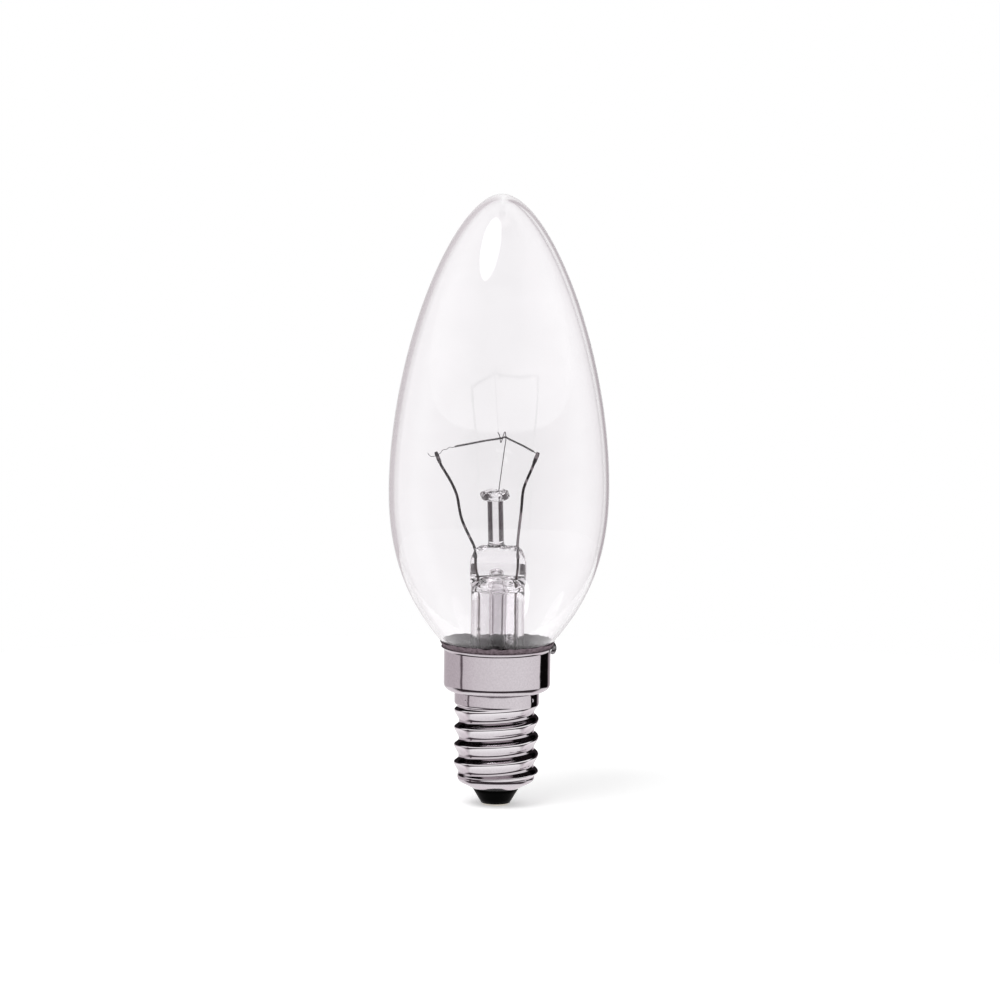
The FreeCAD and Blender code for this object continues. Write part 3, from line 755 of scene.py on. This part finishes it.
outer_rings, outer_marks = cap_rings(0)
inner_rings, inner_marks = cap_rings(cap_wall)
cap = skinned("cap_shell_metal", outer_rings + inner_rings[::-1], AROUND_CAP, closed=True)
marks = outer_marks + inner_marks[::-1]
insets = [0.0] * len(outer_rings) + [cap_wall] * len(inner_rings)
for name, values in (("rolled", marks), ("inset", insets)):
    layer = cap.data.attributes.new(name, "FLOAT", "POINT")
    layer.data.foreach_set("value", [v for v in values for step in range(AROUND_CAP)])
print("cap rings", len(marks), "rolled", int(sum(marks)))

# %% [markdown]
# The thread's law works on each point of the marked rings. Its turn about the axis says how high
# the nearest crest stands, and the distance from that crest gives the radius. The wave is raised
# to a power, which narrows the crests, and skewed, which makes them lean. It fades into the band
# above and into the cap's end below.
# %% Rolled thread
THREAD = {"Pitch": pitch * MM, "Crest Radius": band_radius * MM, "Root Radius": root_radius * MM,
          "Left Crest": left_crest * MM, "End Radius": end_radius * MM}
highlight_sharpness = 4.0


def thread_tree():
    """The node tree that rolls the thread into the marked rings."""
    tree = new_tree("roll a thread", THREAD)
    step_of = partial(math_of, tree)
    given = add_node(tree, "NodeGroupInput").outputs

    def soft_step(value, start, end):
        """From 0 at the start to 1 at the end, eased."""
        made = add_node(tree, "ShaderNodeMapRange", {"interpolation_type": "SMOOTHSTEP"},
                        {"From Min": start * MM, "From Max": end * MM}, {"Value": value})
        return made.outputs["Result"]

    def stored(name):
        """A number that the mesh stores at each point."""
        made = add_node(tree, "GeometryNodeInputNamedAttribute", inputs={"Name": name})
        return made.outputs["Attribute"]

    place = add_node(tree, "GeometryNodeInputPosition").outputs["Position"]
    axes = add_node(tree, "ShaderNodeSeparateXYZ", links={"Vector": place}).outputs
    turn = step_of("DIVIDE", step_of("ARCTAN2", axes["Y"], axes["X"]), 2 * math.pi)
    turn = step_of("FRACT", step_of("ADD", turn, 1.0))
    climb = step_of("MULTIPLY", step_of("SUBTRACT", turn, 0.5), given["Pitch"])
    crest = step_of("ADD", given["Left Crest"], climb)
    phase = step_of("DIVIDE", step_of("SUBTRACT", axes["Z"], crest), given["Pitch"])
    angle = step_of("MULTIPLY", phase, 2 * math.pi)
    lag = step_of("SUBTRACT", 1.0, step_of("COSINE", angle))
    skewed = step_of("MULTIPLY_ADD", lag, crest_skew, angle)
    wave = step_of("MULTIPLY_ADD", step_of("COSINE", skewed), 0.5, 0.5)
    depth = step_of("SUBTRACT", given["Crest Radius"], given["Root Radius"])
    narrow = step_of("POWER", wave, crest_sharpness)
    rolled = step_of("MULTIPLY_ADD", narrow, depth, given["Root Radius"])
    rise = soft_step(axes["Z"], band_bottom - runout, band_bottom)
    fall = soft_step(axes["Z"], thread_bottom + runout, thread_bottom)
    rest = step_of("SUBTRACT", step_of("SUBTRACT", 1.0, rise), fall)
    at_end = step_of("MULTIPLY", fall, given["End Radius"])
    plain = step_of("MULTIPLY_ADD", rise, given["Crest Radius"], at_end)
    inset = stored("inset")
    outer = step_of("MULTIPLY_ADD", rest, rolled, plain)
    radius = step_of("SUBTRACT", outer, step_of("MULTIPLY", inset, MM))
    squares = [step_of("MULTIPLY", axes[name], axes[name]) for name in ("X", "Y")]
    grow = step_of("DIVIDE", radius, step_of("SQRT", step_of("ADD", *squares)))
    moved = add_node(
        tree, "ShaderNodeCombineXYZ",
        links={"X": step_of("MULTIPLY", axes["X"], grow), "Y": step_of("MULTIPLY", axes["Y"], grow),
               "Z": axes["Z"]},
    )
    chosen = stored("rolled")
    set_place = add_node(
        tree, "GeometryNodeSetPosition",
        links={"Geometry": given["Geometry"], "Selection": step_of("GREATER_THAN", chosen, 0.5),
               "Position": moved.outputs["Vector"]},
    )
    # How much of the painted highlight each point of the crests gets, narrowed by a power.
    on_thread = step_of("MULTIPLY", chosen, rest)
    crests = step_of("MULTIPLY", on_thread, step_of("POWER", wave, highlight_sharpness))
    marked = add_node(
        tree, "GeometryNodeStoreNamedAttribute", {"data_type": "FLOAT", "domain": "POINT"},
        {"Name": "crest_highlight"}, {"Geometry": set_place.outputs["Geometry"], "Value": crests},
    )
    end_tree(tree, marked.outputs["Geometry"], given["Finish"])
    return tree


shaped_by(cap, thread_tree(), THREAD, nickel)
view = bpy.context.evaluated_depsgraph_get()
rolled_mesh = bpy.data.meshes.new_from_object(cap.evaluated_get(view))
cap.modifiers.clear()
cap.data = rolled_mesh
cap.data.shade_smooth()
cap.data.set_sharp_from_angle(angle=math.radians(50))
seat(cap, "cap_shell")
threaded = [v.co for v in cap.data.vertices if thread_bottom < v.co.z / MM < band_bottom]
radii = [math.hypot(co.x, co.y) / MM for co in threaded]
print("thread from", round(min(radii), 2), "to", round(max(radii), 2), "mm")

# %% [markdown]
# Cement holds the glass in the collar. It was squeezed up round the glass when the two were
# pressed together, and its torn edge shows through the glass just above the lip.
# %% Capping cement
cement_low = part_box("base_cement")[0].z / MM
torn_above = 25.6
torn_depth = 0.22
torn_grain = 0.8
outer_run = [(8.15, cement_low), (8.15, 24.5), (8.42, 25.2), (8.7, 25.5), (9.12, 26.25)]
inner_run = [(9.08, 26.3), (8.54, 25.72), (8.05, 25.1), (7.6, 24.62), (7.27, 24.0), (7.25, 23.4),
             (7.25, cement_low)]
cement_rings = []
for radius, height in outer_run + inner_run:
    ring = []
    for x, y, z in oval(radius, radius, 2, height, AROUND_STEM):
        torn = noise.noise(Vector((x + 5, y, 0)) * torn_grain) if height > torn_above else 0.0
        ring.append((x, y, z + torn_depth * torn))
    cement_rings.append(ring)
seat(skinned("cement_ring", cement_rings, AROUND_STEM, closed=True), "base_cement")

# %% [markdown]
# The other pieces keep the shape of their solids. Each is a copy of the solid's mesh with its
# loose triangles merged, so that round faces shade smoothly and true edges stay sharp.
# %% Pieces that keep their solids' shape
def smooth_copy(node):
    """A merged and smooth copy of a node's mesh."""
    mesh = frame["nodes"][node].data.copy()
    shape = bmesh.new()
    shape.from_mesh(mesh)
    bmesh.ops.remove_doubles(shape, verts=shape.verts, dist=0.0005 * MM)
    shape.to_mesh(mesh)
    shape.free()
    mesh.shade_smooth()
    mesh.set_sharp_from_angle(angle=math.radians(40))
    piece = bpy.data.objects.new(node + "_finished", mesh)
    scene.collection.objects.link(piece)
    return piece


for node in sorted(set(frame["nodes"]) - stood_for):
    seat(smooth_copy(node), node)

# %% [markdown]
# The floor is plain and pale, and it keeps the lamp's soft shadow. It glows a little where it is
# seen, which brings it up to white, and less where it is seen through the glass. Mirror rays
# pass it, so the metal shows the studio's cards and not the floor.
# %% Floor
def lit_where_seen(tree):
    """1 for the camera, for reflections and through glass, and 0 for other light."""
    path = add_node(tree, "ShaderNodeLightPath").outputs
    direct = math_of(tree, "MAXIMUM", path["Is Camera Ray"], path["Is Glossy Ray"])
    return math_of(tree, "MAXIMUM", direct, path["Is Transmission Ray"])


FLOOR_RADIUS = 0.17
SEEN_GLOW = 0.35
LESS_THROUGH_GLASS = -0.13
plane = bpy.data.meshes.new("floor")
rim = [math.radians(a) for a in range(0, 360, 5)]
corners = [(FLOOR_RADIUS * math.cos(a), FLOOR_RADIUS * math.sin(a), 0) for a in rim]
plane.from_pydata(corners, [], [range(len(rim))])
floor = bpy.data.objects.new("floor", plane)
floor.visible_glossy = False
scene.collection.objects.link(floor)
paper = bpy.data.materials.new("white paper")
paper.use_nodes = True
tree = paper.node_tree
tree.nodes.clear()
through_glass = add_node(tree, "ShaderNodeLightPath").outputs["Is Transmission Ray"]
less = math_of(tree, "MULTIPLY", through_glass, LESS_THROUGH_GLASS)
glow = math_of(tree, "MULTIPLY_ADD", lit_where_seen(tree), SEEN_GLOW, less)
pale = {"Base Color": linear("EFEFEF"), "Roughness": 0.9, "Emission Color": linear("FFFFFF")}
sheet = add_node(
    tree, "ShaderNodeBsdfPrincipled", inputs=pale, links={"Emission Strength": glow},
)
add_node(tree, "ShaderNodeOutputMaterial", links={"Surface": sheet.outputs["BSDF"]})
plane.materials.append(paper)
print("floor", 2 * FLOOR_RADIUS, "m across")

# %% [markdown]
# Clear glass and bright metal show only what stands round them. A studio sets dark cards beside
# such a thing, so that its edges draw dark lines. Here the cards are lists of an angle and a
# brightness. Some angles go round the lamp, with 0 in front and 90 on the right, and some rise
# from -90 below to 90 above. Metal has a wall at eye level with a dark card on the right, a
# higher wall, the ground, and a soft box above the front. Glass has cards of its own, because
# it bends light: one list for the bulb, one for the rod, one for the stem, and one for what the
# glass mirrors, with a glow high in front that gives the bright streak.
# %% Cards
CARDS = [(-180, 1.0), (-165, 0.85), (-150, 0.62), (-88, 0.68), (-86, 0.15), (-82, 0.15), (-79, 0.76),
         (-45, 0.87), (0, 0.94), (60, 0.97), (106, 0.9), (108, 0.004), (143, 0.004), (150, 0.3),
         (157, 0.55), (172, 0.6), (180, 1.0)]
WALL = [(-90, 0.0), (-20, 0.0), (-16, 1.0), (-5, 1.0), (-2, 0.0), (90, 0.0)]
FRONT = [(-180, 0.02), (-118, 0.02), (-100, 0.85), (0, 0.95), (100, 0.95), (118, 0.02), (180, 0.02)]
HIGH_WALL = [(-90, 0.0), (-5, 0.0), (-2, 1.0), (17, 1.0), (22, 0.0), (90, 0.0)]
GROUND = [(-90, 1.0), (-49, 1.0), (-44, 0.14), (-32, 0.05), (-20, 0.03), (-16, 0.0), (90, 0.0)]
BACK = [(-180, 1.0), (-120, 1.0), (-100, 0.0), (100, 0.0), (120, 1.0), (180, 1.0)]
LOW_GROUND = [(-90, 0.0), (-49, 0.0), (-44, 0.8), (-20, 0.9), (-16, 0.0), (90, 0.0)]
BOX_WIDTH = [(-180, 0.02), (-60, 0.02), (-54, 1.0), (54, 1.0), (60, 0.02), (180, 0.02)]
BOX_HEIGHT = [(-90, 0.0), (33, 0.0), (37, 0.4), (90, 0.36)]
CARDS_OF_GLASS = [(-180, 1.0), (-177, 1.0), (-174, 0.96), (-166, 0.95), (-161, 0.62), (-153, 0.62),
                  (-149, 0.95), (-146, 1.0), (150, 1.0), (153, 0.42), (157, 0.6), (160, 0.76),
                  (163, 0.42), (165, 0.22), (168, 0.85), (174, 0.96), (177, 1.0), (180, 1.0)]
CARDS_OF_ROD = [(-180, 1.0), (-166, 1.0), (-160, 0.04), (-84, 0.04), (-74, 0.85), (0, 1.0),
                (74, 0.85), (84, 0.04), (160, 0.04), (166, 1.0), (180, 1.0)]
CARDS_OF_STEM = [(-180, 1.0), (-168, 1.0), (-162, 0.6), (-148, 0.45), (-140, 0.06), (-84, 0.06),
                 (-74, 0.85), (0, 0.95), (74, 0.85), (84, 0.06), (140, 0.06), (148, 0.12),
                 (160, 0.2), (166, 1.0), (180, 1.0)]
CARDS_IN_GLASS = [(-180, 0.95), (-172, 0.8), (-160, 0.64), (-148, 0.7), (-136, 0.9), (-100, 0.95),
                  (-70, 0.6), (-30, 0.2), (30, 0.2), (70, 0.6), (100, 0.95), (150, 0.95),
                  (156, 0.5), (166, 0.5), (172, 0.95), (180, 1.0)]
GLOW_WIDTH = [(-180, 0.0), (-58, 0.0), (-50, 0.7), (50, 0.7), (58, 0.0), (180, 0.0)]
GLOW_HEIGHT = [(-90, 0.0), (64, 0.0), (70, 1.0), (90, 1.0)]
print("cards", len(CARDS), "for metal and", len(CARDS_OF_GLASS), "for the bulb")

# %% [markdown]
# The world turns a ray's direction into the two angles, and each list of cards into a ramp. Dark
# cards are a little mauve. Light Path then says who looks. The camera sees white. Rays from the
# metal are glossy but not mirror-sharp. Rays through glass are told apart by how many surfaces
# they have passed: the bulb has four, the rod stands within it, and the stem's walls add more.
# Light that falls on the lamp from all round is plain.
# %% Studio
BULB_SURFACES = 4.5
ROD_SURFACES = 7.5
DARK_GREEN = 0.8
DARK_BLUE = 0.9
AROUND = 360
UPRIGHT = 180
world = bpy.data.worlds.new("studio")
scene.world = world
world.use_nodes = True
tree = world.node_tree
tree.nodes.clear()
way = add_node(tree, "ShaderNodeTexCoord").outputs["Generated"]
axes = add_node(tree, "ShaderNodeSeparateXYZ", links={"Vector": way}).outputs


def light_by(angle, full, values):
    """Light by one of the two angles, whose full range in degrees is given."""
    ramp = add_node(tree, "ShaderNodeValToRGB", links={"Fac": angle})
    stops = []
    for degrees, v in values:
        green = v * (DARK_GREEN + (1 - DARK_GREEN) * v)
        blue = v * (DARK_BLUE + (1 - DARK_BLUE) * v)
        stops.append((degrees / full + 0.5, (v, green, blue, 1.0)))
    return set_ramp(ramp, stops)


def combined(operation, first, second):
    """The product or the sum of two lights."""
    settings = {"data_type": "RGBA", "blend_type": operation, "clamp_result": False}
    return add_node(tree, "ShaderNodeMix", settings, {"Factor": 1.0}, {6: first, 7: second}).outputs[2]


def chosen_by(which, first, second):
    """The first light where the choice is 0, and the second where it is 1."""
    made = add_node(tree, "ShaderNodeMix", {"data_type": "RGBA"}, {}, {0: which, 6: first, 7: second})
    return made.outputs[2]


def crossed(cards, heights):
    """Cards round the lamp that stand only at some heights."""
    return combined("MULTIPLY", light_by(turn, AROUND, cards), light_by(rise, UPRIGHT, heights))


step_of = partial(math_of, tree)
front = step_of("MULTIPLY", axes["Y"], -1.0)
turn = step_of("MULTIPLY_ADD", step_of("ARCTAN2", axes["X"], front), 0.5 / math.pi, 0.5)
rise = step_of("MULTIPLY_ADD", step_of("ARCSINE", axes["Z"]), 1 / math.pi, 0.5)
path = add_node(tree, "ShaderNodeLightPath").outputs
metal = crossed(CARDS, WALL)
for more in (light_by(rise, UPRIGHT, GROUND), crossed(BOX_WIDTH, BOX_HEIGHT),
             crossed(FRONT, HIGH_WALL), crossed(BACK, LOW_GROUND)):
    metal = combined("ADD", metal, more)
glass = light_by(turn, AROUND, CARDS_OF_GLASS)
for surfaces, cards in ((BULB_SURFACES, CARDS_OF_ROD), (ROD_SURFACES, CARDS_OF_STEM)):
    past = step_of("GREATER_THAN", path["Transmission Depth"], surfaces)
    glass = chosen_by(past, glass, light_by(turn, AROUND, cards))
inner = combined("ADD", light_by(turn, AROUND, CARDS_IN_GLASS), crossed(GLOW_WIDTH, GLOW_HEIGHT))
glass = chosen_by(step_of("GREATER_THAN", path["Glossy Depth"], 0.5), glass, inner)
dull = step_of("SUBTRACT", path["Is Glossy Ray"], path["Is Singular Ray"], clamp=True)
both = chosen_by(dull, glass, metal)
plain = add_node(tree, "ShaderNodeBackground", inputs={"Color": linear("FFFFFF"), "Strength": 0.75})
seen = add_node(tree, "ShaderNodeBackground", inputs={"Strength": 1.0}, links={"Color": both})
white = add_node(tree, "ShaderNodeBackground", inputs={"Color": linear("FFFFFF"), "Strength": 1.0})
mirrored = add_node(
    tree, "ShaderNodeMixShader",
    links={"Fac": lit_where_seen(tree), 1: plain.outputs[0], 2: seen.outputs[0]},
)
whole_world = add_node(
    tree, "ShaderNodeMixShader",
    links={"Fac": path["Is Camera Ray"], 1: mirrored.outputs[0], 2: white.outputs[0]},
)
add_node(tree, "ShaderNodeOutputWorld", links={"Surface": whole_world.outputs[0]})
print("nodes of the world", len(tree.nodes))

# %% [markdown]
# One large soft lamp from the upper left front gives the black glass and the wires their form
# and the floor its shadow. Mirror rays pass it, because the cards stand for it there.
# %% Soft lamp
lamp = bpy.data.lights.new("soft light", "AREA")
lamp.shape = "DISK"
lamp.size = 0.7
lamp.energy = 5.0
light = bpy.data.objects.new("soft light", lamp)
light.visible_glossy = False
light.location = (-0.35, -0.45, 0.95)
light.rotation_euler = (Vector((0, 0, 0.05)) - light.location).to_track_quat("-Z", "Y").to_euler()
scene.collection.objects.link(light)
print("lamp", lamp.energy, "W")

# %% [markdown]
# The photograph was taken from about a metre with a long lens, looking slightly down, and the
# lamp's axis leans by less than a degree in it, so the camera is rolled by that much.
# %% Camera
aim = Vector((0.17, 0, 48.9)) * MM
distance = 1.0
elevation = math.radians(7.8)
roll = math.radians(0.67)
data = bpy.data.cameras.new("camera")
data.lens = 227
data.sensor_width = 36
data.clip_start = 0.05
camera = bpy.data.objects.new("camera", data)
scene.collection.objects.link(camera)
camera.location = aim + distance * Vector((0, -math.cos(elevation), math.sin(elevation)))
look = (aim - camera.location).to_track_quat("-Z", "Y").to_matrix().to_4x4()
camera.matrix_world = Matrix.Translation(camera.location) @ look @ Matrix.Rotation(roll, 4, "Z")
scene.camera = camera
scene.view_settings.view_transform = "Standard"
print("camera at", [round(v, 3) for v in camera.location])
